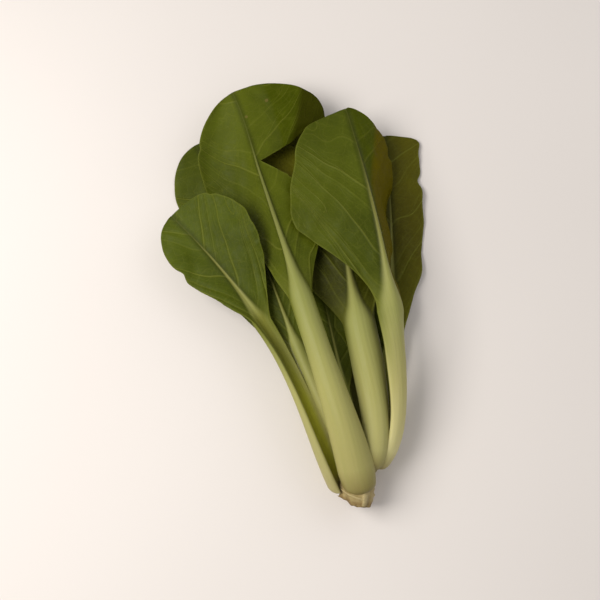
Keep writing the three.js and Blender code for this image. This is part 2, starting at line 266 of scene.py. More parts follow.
def ripple(x, seed, layers=3):
    """An uneven wave through x: sines, each 1.73 times as quick and 0.6 as high as the one
    before, with phases that follow from the seed."""
    total = 0.0
    for layer in range(layers):
        turns = 1.73**layer * x + 0.37 * (layer + 1) * seed + 0.21 * layer * layer
        total = total + 0.6**layer * np.sin(2 * np.pi * turns)
    return total


def unit(vectors):
    """Each vector divided by its own length."""
    return vectors / (np.linalg.norm(vectors, axis=-1, keepdims=True) + 1e-12)


def to_frame(points):
    """Points of the head's own frame, in millimetres, as points of the CAD frame, in metres."""
    return (points + SHIFT) * MM


def centre_line(path, share):
    """Points and unit tangents at shares of the centre line's length, and that length. The line
    is a run of cubic Bezier curves, (1-t)^3 A + 3 (1-t)^2 t B + 3 (1-t) t^2 C + t^3 D, each from
    the last control point of the one before; its length is summed over short chords."""
    t = np.linspace(0, 1, 601)
    weights = np.stack([(1 - t) ** 3, 3 * (1 - t) ** 2 * t, 3 * (1 - t) * t * t, t**3], -1)
    control = np.array(path, float)
    curves = [weights @ control[i : i + 4] for i in range(0, len(control) - 1, 3)]
    line = np.concatenate(curves[:1] + [curve[1:] for curve in curves[1:]])
    run = np.concatenate([[0], np.cumsum(np.linalg.norm(np.diff(line, axis=0), axis=1))])
    tangent = unit(np.gradient(line, run, axis=0))

    def at_shares(values):
        """Values along the line, read at the shares."""
        return np.stack([np.interp(share * run[-1], run, column) for column in values.T], -1)

    return at_shares(line), unit(at_shares(tangent)), run[-1]


def stations_of(leaf):
    """Shares of the leaf's length: nearly even up the stalk, then s = 1 - (1 - t)^1.8 up the
    blade, with shorter steps round the tip."""
    stalk, count = leaf["stalk"], leaf["grid"][0]
    low = int(STALK_STATIONS * count)
    q = np.linspace(0, 1, low, endpoint=False)
    t = np.linspace(0, 1, count - low)
    lower = stalk * (q - 0.06 * np.sin(2 * np.pi * q))
    upper = stalk + (1 - stalk) * (1 - (1 - t) ** 1.8)
    return np.concatenate([lower, upper])


def blade_outline(leaf, s, side):
    """Share of the blade's half-width: a wedge (1 - (1 - s/w)^1.25)^h up to the widest place w,
    then a round end sqrt(1 - x^b), times an uneven wave and a few bell-shaped dips."""
    widest = leaf["widest"]
    wedge = (1 - (1 - np.clip(s / widest, 0, 1)) ** 1.25) ** leaf["wedge"]
    beyond = np.clip((s - widest) / (1 - widest), 0, 1)
    end = np.sqrt(np.clip(1 - beyond ** leaf["blunt"][side], 0, 1))
    seed = leaf["phase"] * 7 + 3.1 * side
    lobes = 1 + leaf["lobe"] * ripple(2.3 * s, seed) * ease(0.1, 0.4, s)
    for notch_side, place, depth, width in leaf["notches"]:
        if notch_side == side:
            lobes = lobes * (1 - depth * bell((s - place) / width))
    return np.where(s < widest, wedge, end) * lobes


def blade_half_width(leaf, s, side):
    """Half-width of the blade in mm: its outline, unless a tear leaves less. A tear leaves
    TEAR_END beside the midrib where it ends, and more by an even slope on either side of that."""
    whole = leaf["blade_width"][side] * blade_outline(leaf, s, side)
    tear = leaf["tear"]
    if tear is None or tear["side"] != side:
        return whole
    past = s - tear["at"]
    left = np.where(past < 0, -past * tear["below"], past * tear["above"])
    ragged = 1 + 0.05 * ripple(11 * s, 1.7)
    return np.minimum(whole, TEAR_END + left * ragged)


def sections_of(leaf, share):
    """What sets a leaf's cross-section at each share of its length: share of the blade and the
    stalk, thickness at the edge and the middle, half-width of the midrib, which narrows as
    e^(-7.5 s), roll, and each side's half-width, slope and bend."""
    stalk = leaf["stalk"]
    s = np.clip((share - stalk) / (1 - stalk), 0, 1)
    up = share / stalk
    opened = ease(0, 0.22, s)
    foot = mix(0.85, 1, ease(0, 0.13, up))
    width = foot * mix(leaf["foot_width"], leaf["stalk_width"], ease(0.05, 0.8, up))
    core = width * (1 - s) ** 3.2
    narrowing = mix(np.exp(-7.5 * s), 1, 0.3 * (1 - ease(0, 0.12, s)))
    rib = width * narrowing + 0.5 * (1 - s) ** 0.7 * ease(0, 0.2, s)
    wrap = mix(leaf["wrap"][0], leaf["wrap"][1], ease(0, 0.7, up))
    edge = mix(mix(FOOT_EDGE, STALK_EDGE, ease(0, 1, up)), LAMINA, opened)
    middle = leaf["thick"] * mix(1, TOP_SHARE, ease(0, 1, up)) * (1 - s) ** 1.2
    middle = edge + middle * mix(1, RIB_SHARE, ease(0.02, 0.3, s))
    early = mix(leaf["facing"][0], leaf["facing"][1], ease(0, 0.9, up))
    turn_end = mix(stalk, 1, leaf["turned"])
    facing = mix(early, leaf["facing"][2], ease(0.75 * stalk, turn_end, share))
    flatter = 1 - 0.75 * ease(0.45, 1, s)
    halves = [core + blade_half_width(leaf, s, side) * (s > 0) + 0.6 * s for side in (0, 1)]
    return dict(
        s=s, up=up, edge=edge, middle=middle, rib=rib,
        roll=np.radians(facing + 90 + leaf["lap"] * (1 - ease(0, 0.8, up))),
        half=np.stack(halves),
        slope=np.radians([fold * opened * flatter for fold in leaf["fold"]]),
        bend=np.radians([mix(wrap, curl, opened) for curl in leaf["curl"]]),
    )


def vein_row(leaf, away, forward, side):
    """Which side vein passes through a point of the flattened blade: a number that is whole on
    a vein. A vein that leaves the midrib at y0 runs along y = y0 (1 + b x) + r x, so
    y0 = (y - r x) / (1 + b x); its slope r and the step to the next vein vary unevenly."""
    seed = leaf["phase"] * 5 + 0.9 * side
    spread = np.clip(1 + VEIN_BEND * away, 0.25, 1)
    rise = VEIN_RISE * (1 + 0.13 * ripple((forward - VEIN_RISE * away) / spread / 67, seed, 2))
    start = (forward - rise * away) / spread / leaf["vein_gap"]
    uneven = 0.2 * ripple(0.31 * start, seed + 1.3, 2)
    wander = 0.06 * ripple(away / 31 + forward / 90, seed, 2)
    return start + leaf["vein_start"] + 0.45 * side + uneven + wander


def vein_rows(leaf, away, forward, side, step=0.05):
    """The row of side veins at each point, and the mm from one vein to the next there: one over
    the steepness of the row, taken from small steps across and along."""
    row = vein_row(leaf, away, forward, side)
    across = vein_row(leaf, away + step, forward, side) - row
    along = vein_row(leaf, away, forward + step, side) - row
    return row, step / (np.hypot(across, along) + 1e-9)


def sheet_lift(leaf, s, out, away, forward, side, rib, row):
    """How far the sheet moves along its section's normal: long waves sin(6 pi s) and a ruffle
    that grow out to the margin, a swelling sin^2 between side veins, and slow creases."""
    seed = leaf["phase"] * 9
    wave = leaf["wave"] * out**2.2 * ease(0.03, 0.25, s) * (1 - 0.3 * s)
    wave = wave * np.sin(2 * np.pi * (3 * s + leaf["phase"] + 0.37 * side))
    ruffle = RUFFLE * out**4 * ease(0.05, 0.3, s) * ripple(5.3 * s + 0.5 * side, seed, 4)
    clear = ease(0.4, 7, away - rib) * ease(0.02, 0.2, s) * (1 - ease(0.86, 1, out))
    pillow = leaf["pillow"] * clear * np.sin(np.pi * row) ** 2
    crease = CREASES[0] * ripple(away / 27 + forward / 41, seed + 2)
    crease = crease + CREASES[1] * ripple(away / 70 - forward / 90, seed, 1)
    return wave + ruffle + pillow + crease * ease(0.02, 0.3, s) * ease(2, 12, away)


def leaf_sheet(leaf):
    """Middle sheet of a leaf. Each station's section is two arcs that leave the midrib at the
    fold's slope and bend evenly out to the margin, then sheet_lift moves it."""
    share = stations_of(leaf)
    centre, along, length = centre_line(leaf["path"], share)
    part = sections_of(leaf, share)
    across = unit(np.cross(along, [0, 0, 1.0]))
    inward = np.cross(across, along)
    cos, sin = np.cos(part["roll"])[:, None], np.sin(part["roll"])[:, None]
    turned = cos * across + sin * inward
    face = -sin * across + cos * inward
    w = np.linspace(-1, 1, leaf["grid"][1])
    out = 0.45 * np.abs(w) + 0.55 * np.abs(w) ** 1.7 + 0.8 * (np.abs(w) ** 6 - np.abs(w) ** 7)
    sign, side = np.sign(w), (w > 0).astype(int)
    slope, bend, half = (part[key][side].T for key in ("slope", "bend", "half"))
    bend = np.where(np.abs(bend) < 1e-4, 1e-4, bend)
    s, rib = part["s"][:, None], part["rib"][:, None]
    away = out * half
    forward = s * length * (1 - leaf["stalk"])
    row, gap = vein_rows(leaf, away, forward, side)
    lift = sheet_lift(leaf, s, out, away, forward, side, rib, row)
    end = slope + bend * out
    x = sign * half * (np.sin(end) - np.sin(slope)) / bend - sign * np.sin(end) * lift
    z = half * (np.cos(slope) - np.cos(end)) / bend + np.cos(end) * lift
    points = centre[:, None] + x[..., None] * turned[:, None] + z[..., None] * face[:, None]
    return dict(
        part=part, points=points, away=away, signed=sign * away, half=half,
        row=row, gap=gap, share=share, length=length,
    )


def keel_shape(sheet):
    """Bell across the midrib, e^(-(x / (0.2 r + 0.7))^2) for a midrib of half-width r."""
    return bell(sheet["signed"] / (0.2 * sheet["part"]["rib"][:, None] + 0.7))


def stalk_ridges(leaf, sheet):
    """Height of the lengthwise ridges of a stalk's outer face: rounded bundles |sin|^0.7 that
    wander a little, under a low blunt keel, fading out into the blade."""
    part = sheet["part"]
    rib = part["rib"][:, None]
    up = part["up"][:, None]
    wander = 0.16 * ripple(0.9 * up + 0.03 * sheet["signed"], leaf["phase"] * 4, 2)
    bundles = np.abs(np.sin(np.pi * (sheet["signed"] / BUNDLE_GAP + wander))) ** 0.7 - 0.6
    inside = 1 - ease(0.75, 1.05, sheet["away"] / (rib + 0.3))
    rising = ease(0.04, 0.3, up) * (1 - ease(0.3, 0.9, part["s"][:, None]))
    return inside * rising * (BUNDLE * bundles + KEEL * keel_shape(sheet))


def leaf_faces(leaf, sheet):
    """Inner and outer faces: the sheet moved inwards by half the edge's thickness and outwards
    by a depth that swells to the middle as (1 - (x / reach)^2)^1.15. At the foot both close over
    a quarter ellipse; higher up a groove runs along the inner midrib."""
    part, points = sheet["part"], sheet["points"]
    normal = unit(np.cross(np.gradient(points, axis=1), np.gradient(points, axis=0)))
    s, up, edge, middle, rib = (part[key][:, None] for key in ("s", "up", "edge", "middle", "rib"))
    reach = 1.02 * rib + 0.9 * (1 - s) + 0.3
    swell = np.clip(1 - (sheet["away"] / reach) ** 2, 0, 1) ** 1.15
    heel = np.clip(sheet["share"] * sheet["length"] / HEEL, 0, 1)[:, None]
    closing = np.sqrt(1 - (1 - heel) ** 2) * 0.97 + 0.03
    depth = mix(edge, middle, swell) - edge / 2 + stalk_ridges(leaf, sheet)
    groove = GROOVE * keel_shape(sheet) * ease(0.3, 0.9, up) * (1 - ease(0.6, 1, s))
    inner = points + normal * (edge / 2 * closing - groove)[..., None]
    outer = points - normal * (depth * closing)[..., None]
    return inner, outer


def rounded_ring(inner, outer, points, edge):
    """Points round the leaf at every station: the inner face, two points round one margin, the
    outer face backwards and two points round the other margin."""
    def margin(j, neighbour, start, finish):
        """Two points on a half circle from one face's edge to the other's."""
        middle = (start + finish) / 2
        radius = (start - finish) / 2
        outward = unit(points[:, j] - points[:, neighbour]) * (edge / 2)[:, None]
        turns = (math.pi / 3, 2 * math.pi / 3)
        return np.stack([middle + math.cos(a) * radius + math.sin(a) * outward for a in turns], 1)

    right = margin(-1, -2, inner[:, -1], outer[:, -1])
    left = margin(0, 1, outer[:, 0], inner[:, 0])
    return np.concatenate([inner, right, outer[:, ::-1], left], 1)


def ring_values(values):
    """A quantity of the sheet repeated round the ring."""
    last, first = values[:, -1:], values[:, :1]
    return np.concatenate([values, last, last, values[:, ::-1], first, first], 1)


def tube_quads(rows, size):
    """Quads that join each ring of size points to the next one."""
    i, j = np.meshgrid(np.arange(rows - 1), np.arange(size), indexing="ij")
    a, b = i * size + j, i * size + (j + 1) % size
    return np.stack([a, b, b + size, a + size], -1).reshape(-1, 4)


def end_quads(row, size, at_tip):
    """Quads across one end of a leaf's tube, each between two neighbours on the inner face or
    margin and the two opposite."""
    k = np.arange(-1, size // 2 - 2)
    quads = np.stack([k, k + 1, size - 4 - k, size - 3 - k], -1) % size
    quads = quads + row * size
    return quads if at_tip else quads[:, ::-1]


def new_mesh(name, points, faces):
    """Smooth mesh at the origin from points in the head's frame and lists of corners."""
    mesh = bpy.data.meshes.new(name)
    mesh.from_pydata(to_frame(points.reshape(-1, 3)).tolist(), [], faces)
    mesh.polygons.foreach_set("use_smooth", np.full(len(faces), True))
    mesh.update()
    piece = bpy.data.objects.new(name, mesh)
    bpy.context.scene.collection.objects.link(piece)
    return piece


def add_vector(piece, name, x, y, z):
    """Stores three values at each vertex as one vector attribute."""
    layer = piece.data.attributes.new(name, "FLOAT_VECTOR", "POINT")
    stacked = np.stack([np.broadcast_to(a, x.shape) for a in (x, y, z)], -1)
    layer.data.foreach_set("vector", stacked.astype(np.float32).ravel())


def add_flat_map(piece, across, along):
    """UV map of the leaf rolled out flat: 1 unit is 100 mm across and along it."""
    layer = piece.data.uv_layers.new(name="Flat")
    corner = np.zeros(len(piece.data.loops), np.int32)
    piece.data.loops.foreach_get("vertex_index", corner)
    uv = np.stack([across.ravel(), along.ravel()], -1)[corner] / 100
    layer.uv.foreach_set("vector", uv.astype(np.float32).ravel())


def press_on_surface(points):
    """Keeps points above the surface: z becomes (z + sqrt(z^2 + g^2)) / 2, which keeps high
    points and flattens low ones just above it."""
    pressed = points.copy()
    z = points[..., 2]
    pressed[..., 2] = (z + np.sqrt(z * z + FLOOR_GAP**2)) / 2
    return pressed


def build_leaf(leaf):
    """One leaf as a closed skin round its middle sheet, with what its material reads. "place":
    paleness, 1 on the stalk and fading up the midrib, share of the blade, and mm from the
    margin. "vein": row of side veins, mm between them, and mm from the midrib's edge. "body": 1
    on the outer face, and share of the stalk."""
    sheet = leaf_sheet(leaf)
    part, away = sheet["part"], sheet["away"]
    ring = rounded_ring(*leaf_faces(leaf, sheet), sheet["points"], part["edge"])
    rows, size = ring.shape[:2]
    ends = [end_quads(0, size, False), end_quads(rows - 1, size, True)]
    faces = np.concatenate([tube_quads(rows, size)] + ends).tolist()
    piece = new_mesh(leaf["name"] + "_visual", press_on_surface(ring), faces)
    s, up, rib = (np.broadcast_to(part[key][:, None], away.shape) for key in ("s", "up", "rib"))
    pale = 1 - ease(0.3, 1.2, away / (1.12 * rib + 0.2))
    pale = mix(1, pale, ease(0.85, 1.0, up + 0.9 * s)) * mix(1, 0.18, ease(0.45, 0.85, s))
    columns = away.shape[1]
    outside = np.concatenate([np.zeros(columns), [0.3, 0.7], np.ones(columns), [0.7, 0.3]])
    outside = np.broadcast_to(outside, (rows, size))
    add_vector(piece, "place", *map(ring_values, (pale, s, sheet["half"] - away)))
    add_vector(piece, "vein", *map(ring_values, (sheet["row"], sheet["gap"], away - rib)))
    add_vector(piece, "body", outside, ring_values(up), 0.0)
    along = np.broadcast_to(sheet["share"][:, None] * sheet["length"], s.shape)
    add_flat_map(piece, ring_values(sheet["signed"]), ring_values(along))
    return piece


# ---- stem base


def wrapped(angle):
    """An angle brought between -pi and pi by whole turns."""
    return (angle + np.pi) % (2 * np.pi) - np.pi


def cut_grooves(angle, radius):
    """Grooves of the cut face, 0 to 1: a wavy ring round the stem's core at half its radius and,
    outside it, slanting gaps between the five stalk bases that were cut through."""
    ring = bell((radius - 0.52 - 0.03 * np.sin(3 * angle + 1)) / 0.045)
    gaps = np.zeros_like(ring)
    for k, place in enumerate(STALK_GAPS):
        turn = wrapped(angle - place - 1.1 * (radius - 0.5))
        gaps = np.maximum(gaps, bell(turn * radius / (0.06 + 0.01 * k)))
    return np.maximum(ring, gaps * ease(0.45, 0.6, radius))


def leaf_scars(angle, y):
    """Ridges on the stem's wall where outer leaves were pulled off, as a height in mm: each is a
    low line round part of the stem, at y = height + lean * turn + 0.9 (turn / width)^2."""
    total = np.zeros(np.broadcast(angle, y).shape)
    for place, width, height, lean, tall in SCARS:
        turn = wrapped(angle - place)
        line = height + lean * turn + 0.9 * (turn / width) ** 2
        total = total + tall * bell((y - line) / 0.5) * np.exp(-((turn / width) ** 4))
    return total


def base_rows(dish=30, rim=8, wall=90):
    """Rows of the stem base from the middle of the cut face to just below the growing point, as
    columns: radius, place along the stem and share of the cut face. The face is a shallow dish
    d (1 - x^2)^2, its edge a quarter ellipse, and the wall follows BASE_WALL by its length."""
    inner = np.linspace(0.06, RIM_START, dish)
    corner = np.linspace(0, np.pi / 2, rim + 1)[1:]
    t = np.linspace(0, 1, wall + 1)[1:-1] ** 1.25
    wall_y, wall_r = np.array(BASE_WALL).T
    run = np.concatenate([[0], np.cumsum(np.hypot(np.diff(wall_y), np.diff(wall_r)))])
    radius = np.concatenate([
        inner * CUT_RADIUS,
        CUT_RADIUS * (RIM_START + (1 - RIM_START) * np.sin(corner)),
        np.interp(t * run[-1], run, wall_r),
    ])
    place = np.concatenate([
        DISH * (1 - (inner / RIM_START) ** 2) ** 2,
        DISH * (1 - np.cos(corner)),
        np.interp(t * run[-1], run, wall_y),
    ])
    on_face = np.concatenate([np.ones(dish), np.linspace(0.9, 0.2, rim), np.zeros(len(t))])
    return radius[:, None], place[:, None], on_face[:, None]


def build_base():
    """The stem base: base_rows turned about the stem's axis. Five furrows between cut stalks run
    up the wall, which carries scars of outer leaves and a torn scrap of one and flares out on
    the left near the cut. The cut draws back there, y >= -CUT_SLANT (x + SLANT_START). "cut"
    holds grooves, nearness to the cut and scars."""
    angle = np.linspace(0, 2 * np.pi, BASE_TURNS, endpoint=False)[None]
    r, y, on_face = base_rows()
    share = np.clip(r / CUT_RADIUS, 0, 1)
    groove = cut_grooves(angle + 0 * r, share + 0 * angle) * on_face
    furrow = sum(bell(wrapped(angle - place - FURROW[0]) / FURROW[1]) for place in STALK_GAPS)
    outline = 1 + 0.02 * np.sin(2 * angle + 0.6) + 0.014 * np.sin(9 * angle + 2)
    outline = outline - 0.10 * furrow * ease(0.5, 0.95, share) * (1 - ease(2, 11, y))
    uneven = 0.12 * ripple(0.9 * angle / np.pi + 0.21 * y, 1.3) * (1 - on_face)
    uneven = uneven * ease(0.3, 2, y)
    scrap = np.exp(-((wrapped(angle - SCRAP[0]) / SCRAP[1]) ** 6)) * ease(0.1, 0.6, y)
    scrap = scrap * (1 - ease(6, 8, y))
    scars = leaf_scars(angle, y)
    flare = 1.5 * bell(wrapped(angle - FLARE[0]) / FLARE[1]) * (1 - ease(3, 6.5, y))
    radius = r * outline + (uneven + scars + 0.9 * scrap + flare) * (1 - on_face)
    wavy = 0.12 * np.sin(5 * angle + 9 * share) * on_face * share
    depth = y - 1.4 * (1 - ease(0, 9, y)) + 0.5 * groove + wavy
    x = radius * np.cos(angle)
    slanted = -CUT_SLANT * (x + SLANT_START) + 0.35 * ripple(0.16 * x, 0.4, 2)
    depth = 0.5 * (depth + slanted + np.sqrt((depth - slanted) ** 2 + 0.3))
    points = np.stack([x, depth, AXIS_HEIGHT + radius * np.sin(angle)], -1)
    near_cut = np.maximum(on_face, 1 - ease(0.3, 2.2, depth - np.maximum(slanted, 0)))
    rows = len(points)
    poles = np.array([[0, 0.6, AXIS_HEIGHT], [0, BASE_WALL[-1][0] - 0.1, AXIS_HEIGHT]])
    k = np.arange(BASE_TURNS)
    following = (k + 1) % BASE_TURNS
    pole = 0 * k + rows * BASE_TURNS
    top = (rows - 1) * BASE_TURNS
    first = np.stack([k, following, pole], -1).tolist()
    last = np.stack([top + following, top + k, pole + 1], -1).tolist()
    quads = tube_quads(rows, BASE_TURNS)[:, [0, 3, 2, 1]].tolist()
    everything = np.concatenate([points.reshape(-1, 3), poles])
    piece = new_mesh("stem_base_visual", everything, quads + first + last)
    hollow = np.maximum(groove, 0.8 * furrow * (1 - ease(0.5, 9, y)) * ease(0.5, 1, share))
    values = np.stack([hollow, near_cut, np.maximum(scars, scrap)], -1).reshape(-1, 3)
    add_vector(piece, "cut", *np.concatenate([values, [[0, 1, 0], [0, 0, 0]]]).T)
    return piece


# ---- materials


def srgb(red, green, blue):
    """A colour given in 0 to 255 display steps, as linear light: ((c + 0.055) / 1.055)^2.4."""
    steps = np.array([red, green, blue]) / 255
    linear = np.where(steps <= 0.04045, steps / 12.92, ((steps + 0.055) / 1.055) ** 2.4)
    return (*linear.tolist(), 1)


class Nodes:
    """Short ways to place and join shader nodes in one tree."""

    def __init__(self, tree):
        self.tree = tree

    def add(self, kind, **settings):
        """A new node with its settings."""
        node = self.tree.nodes.new("ShaderNode" + kind)
        for key, value in settings.items():
            setattr(node, key, value)
        return node

    def link(self, source, target):
        """Joins a socket to the target, or sets a constant on it."""
        if isinstance(source, bpy.types.NodeSocket):
            self.tree.links.new(source, target)
        else:
            target.default_value = source

    def feed(self, node, *values):
        """Feeds a node's first inputs in turn; returns its outputs."""
        for value, socket in zip(values, node.inputs):
            self.link(value, socket)
        return node.outputs

    def fill(self, node, **values):
        """Feeds a node's inputs by name; returns its outputs."""
        for key, value in values.items():
            self.link(value, node.inputs[key])
        return node.outputs

    def math(self, operation, *values, kind="Math", **settings):
        """One operation on up to three sockets or constants."""
        return self.feed(self.add(kind, operation=operation, **settings), *values)[0]

    def times(self, a, b):
        """a b."""
        return self.math("MULTIPLY", a, b)

    def ease(self, low, high, x, start=0, finish=1):
        """Smooth step from start to finish as x goes from low to high."""
        node = self.add("MapRange", interpolation_type="SMOOTHSTEP")
        return self.feed(node, x, low, high, start, finish)[0]

    def mix(self, share, a, b):
        """Colour a with a share of colour b."""
        node = self.add("Mix", data_type="RGBA")
        for value, index in ((share, 0), (a, 6), (b, 7)):
            self.link(value, node.inputs[index])
        return node.outputs[2]

    def split(self, vector):
        """The three values of a vector."""
        return tuple(self.feed(self.add("SeparateXYZ"), vector))

    def attribute(self, name):
        """The three values of a vector attribute."""
        return self.split(self.add("Attribute", attribute_name=name).outputs["Vector"])

    def stretched(self, vector, scale):
        """A vector times a scale along each axis."""
        return self.fill(self.add("Mapping"), Vector=vector, Scale=scale)[0]

    def noise(self, vector, scale, detail=3, roughness=0.5):
        """Cloudy noise, 0 to 1."""
        node = self.add("TexNoise")
        return self.fill(node, Vector=vector, Scale=scale, Detail=detail, Roughness=roughness)[0]

    def cells(self, vector, scale, **settings):
        """Outputs of a pattern of random cells."""
        return self.fill(self.add("TexVoronoi", **settings), Vector=vector, Scale=scale)

    def bump(self, height, strength, distance):
        """Normal that a height gives, in shares of the distance in metres."""
        return self.fill(self.add("Bump"), Height=height, Strength=strength, Distance=distance)[0]

    def group(self, tree, **values):
        """Outputs of a node group."""
        return self.fill(self.add("Group", node_tree=tree), **values)


def new_group(name, inputs, outputs):
    """Empty shader group with float or vector inputs and float outputs, and its two ends."""
    tree = bpy.data.node_groups.new(name, "ShaderNodeTree")
    for socket, kind in inputs.items():
        tree.interface.new_socket(socket, in_out="INPUT", socket_type="NodeSocket" + kind)
    for socket in outputs:
        tree.interface.new_socket(socket, in_out="OUTPUT", socket_type="NodeSocketFloat")
    ends = tree.nodes.new("NodeGroupInput").outputs, tree.nodes.new("NodeGroupOutput").inputs
    return Nodes(tree), ends


def side_vein_group():
    """Side veins, their forks and the veins between. The distance from a vein is that of the
    row from a whole number, times the spacing. A fork leaves each vein at its own distance from
    the midrib and runs halfway to the next one. Every other vein is finer, all thin out to the
    margin, and their strength comes and goes."""
    inputs = {"Row": "Float", "Spacing": "Float", "Away": "Float", "Flat": "Vector"}
    nodes, (given, made) = new_group("Side veins", inputs, ("Line", "Between", "Swell"))
    row, spacing, away = given["Row"], given["Spacing"], given["Away"]
    nearest = nodes.math("ROUND", row)
    signed = nodes.math("SUBTRACT", row, nearest)
    off = nodes.math("ABSOLUTE", signed)
    odd = nodes.math("ABSOLUTE", nodes.math("MODULO", nearest, 2))
    strong = nodes.ease(0, 1, odd, 1, 0.4)
    width = nodes.ease(0, 34, away, 0.75, 0.26)
    thinness = nodes.math("DIVIDE", nodes.times(off, spacing), width)
    line = nodes.times(nodes.ease(0.1, 1.35, thinness, 1, 0), strong)

    chance = nodes.fill(nodes.add("TexWhiteNoise", noise_dimensions="1D"), W=nearest)[0]
    begin = nodes.math("MULTIPLY_ADD", chance, 14, 5)
    gone = nodes.math("SUBTRACT", away, begin)
    target = nodes.ease(0, 22, gone, 0, 0.5)
    fork_off = nodes.math("ABSOLUTE", nodes.math("SUBTRACT", signed, target))
    fork = nodes.ease(0.05, 0.45, nodes.times(fork_off, spacing), 0.55, 0)
    fork = nodes.times(fork, nodes.ease(0, 2, gone))
    fading = nodes.ease(0.3, 0.7, nodes.noise(given["Flat"], 5, 2), 0.55, 1)
    nodes.link(nodes.times(nodes.math("MAXIMUM", line, fork), fading), made["Line"])

    third = nodes.times(row, 4)
    third_off = nodes.math("SUBTRACT", third, nodes.math("ROUND", third))
    third_distance = nodes.times(nodes.math("ABSOLUTE", third_off), nodes.times(spacing, 0.25))
    nodes.link(nodes.ease(0.1, 0.5, third_distance, 1, 0), made["Between"])
    nodes.link(nodes.ease(0, 0.5, off), made["Swell"])
    return nodes.tree


def network_group():
    """Net of fine veins: borders of cells at two sizes, drawn out across the blade and bent by
    a little noise."""
    nodes, (given, made) = new_group("Fine network", {"Flat": "Vector"}, ("Net",))
    flat = given["Flat"]
    bend = nodes.fill(nodes.add("TexNoise"), Vector=flat, Scale=22)["Color"]
    shifted = nodes.math("MULTIPLY_ADD", bend, (0.022,) * 3, flat, kind="VectorMath")
    lines = []
    for scale, stretch, thin in ((11, (1, 1.6, 1), 0.035), (34, (1, 1.3, 1), 0.07)):
        cells = nodes.cells(nodes.stretched(shifted, stretch), scale, feature="DISTANCE_TO_EDGE")
        lines.append(nodes.ease(0, thin, cells["Distance"], 1, 0))
    both = nodes.math("ADD", lines[0], nodes.times(lines[1], 0.5), use_clamp=True)
    nodes.link(both, made["Net"])
    return nodes.tree


def fibre_group():
    """Streaks along a stalk: noise stretched about thirty times along its length, in a coarse
    and a fine layer."""
    nodes, (given, made) = new_group("Stalk fibres", {"Flat": "Vector"}, ("Streak", "Fine"))
    coarse = nodes.noise(nodes.stretched(given["Flat"], (38, 1.6, 1)), 1, 2)
    fine = nodes.noise(nodes.stretched(given["Flat"], (170, 5, 1)), 1, 2, 0.6)
    nodes.link(nodes.ease(0.3, 0.7, coarse), made["Streak"])
    nodes.link(nodes.ease(0.25, 0.75, fine), made["Fine"])
    return nodes.tree


def speck_group():
    """A few small round specks: a dot of random size in each of many random cells, kept in as
    many as the amount says."""
    inputs = {"Place": "Vector", "Amount": "Float"}
    nodes, (given, made) = new_group("Specks", inputs, ("Mask",))
    cells = nodes.cells(given["Place"], 190)
    chance = nodes.feed(nodes.add("SeparateColor"), cells["Color"])
    radius = nodes.times(chance[0], 0.20)
    dot = nodes.ease(-0.05, 0.05, nodes.math("SUBTRACT", radius, cells["Distance"]))
    kept = nodes.ease(0, 0.02, nodes.math("SUBTRACT", given["Amount"], chance[1]))
    nodes.link(nodes.times(dot, kept), made["Mask"])
    return nodes.tree


def new_material(name, roughness, subsurface):
    """Material, its nodes and its shader, which has the values that are the same all over."""
    material = bpy.data.materials.new(name)
    material.use_nodes = True
    shader = material.node_tree.nodes["Principled BSDF"]
    nodes = Nodes(material.node_tree)
    nodes.fill(shader, **{
        "Subsurface Weight": subsurface, "Subsurface Radius": (0.8, 1, 0.3),
        "Subsurface Scale": 0.0012, "Specular IOR Level": SHEEN, "Roughness": roughness,
    })
    return material, nodes, shader


def blade_colour(nodes, paint, read, veins, net):
    """Green of a blade: it drifts slowly from place to place, is paler along its veins, near the
    stalk and at the very margin, and darker in a strip beside the midrib: painted shade there."""
    drift = nodes.ease(0.32, 0.68, nodes.noise(read["place"], 26, 3, 0.55))
    blade = nodes.mix(drift, paint["deep"], paint["fresh"])
    mottle = nodes.ease(0.35, 0.7, nodes.noise(read["place"], 120, 3, 0.6))
    layers = (
        (mottle, 0.25, "fresh"), (veins["Swell"], 0.12, "deep"), (net, 0.13, "vein"),
        (veins["Between"], 0.06, "vein"), (veins["Line"], 0.42, "vein"),
    )
    for mask, strength, colour in layers:
        blade = nodes.mix(nodes.times(mask, strength), blade, paint[colour])
    blade = nodes.mix(nodes.ease(0, 0.22, read["share"], 0.4, 0), blade, paint["vein"])
    # Painted shade in a strip beside the midrib.
    beside = nodes.ease(0, 3.2, read["away"], 0.5, 0)
    beside = nodes.times(beside, nodes.ease(0.04, 0.2, read["share"]))
    blade = nodes.mix(beside, blade, paint["beside"])
    return nodes.mix(nodes.ease(0, 1, read["rim"], 0.3, 0), blade, paint["vein"])


def shaded_side(nodes, blade, paint, shade, read, shader):
    """Painted shade: a darker, duller side of a blade that turns from the light. It begins where
    x, across the flat blade, falls below -edge - lean (s - lean_from)."""
    edge, above = shade["edge"], shade["above"]
    across = nodes.split(read["flat"])[0]
    beyond = nodes.math("MAXIMUM", nodes.math("SUBTRACT", read["share"], shade["lean_from"]), 0)
    start = nodes.math("ADD", across, nodes.times(beyond, shade["lean"]))
    mask = nodes.ease(-edge, -edge - 0.05, start, 0, SHADE_DEPTH)
    mask = nodes.times(mask, nodes.ease(above - 0.05, above, read["share"]))
    sheen = nodes.ease(-edge, -edge - 0.03, across, SHEEN, SHADED_SHEEN)
    nodes.link(sheen, shader.inputs["Specular IOR Level"])
    return nodes.mix(mask, blade, paint["shaded"])


